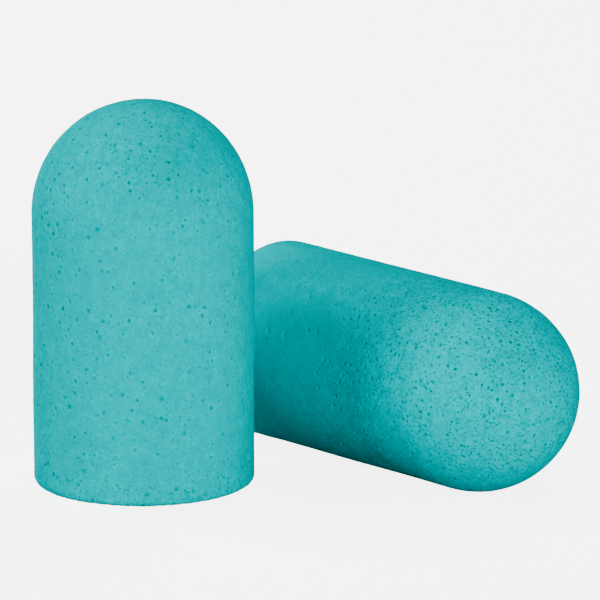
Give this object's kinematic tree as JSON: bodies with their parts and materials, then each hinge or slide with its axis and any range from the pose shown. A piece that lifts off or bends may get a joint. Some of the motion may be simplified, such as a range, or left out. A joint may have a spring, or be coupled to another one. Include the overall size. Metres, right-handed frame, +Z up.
{
  "type": "foam ear plugs",
  "caption": "Pair of bullet-shaped soft foam ear plugs with round tips and flat ends, one standing upright and one lying on its side.",
  "frame": {"origin": "centre of the upright plug's flat end, on the surface that both plugs rest on", "axes": "+Z up along the upright plug, from its flat end to its tip; +X towards the side where the lying plug is; +Y to the back, so that the lying plug's tip points to +X and -Y"},
  "size_m": [0.032, 0.0232, 0.0228],
  "materials": {
    "foam": "matte slow-recovery foam with a fine moulded skin broken by small open cells"
  },
  "bodies": {
    "upright_plug": {"upright_ear_plug": "foam"},
    "lying_plug": {"lying_ear_plug": "foam"}
  },
  "joints": [
    {"name": "lying_plug_lift", "type": "slide", "parent": "upright_plug", "child": "lying_plug", "axis": [0, 0, 1], "range_m": [0, 0.03]}
  ]
}
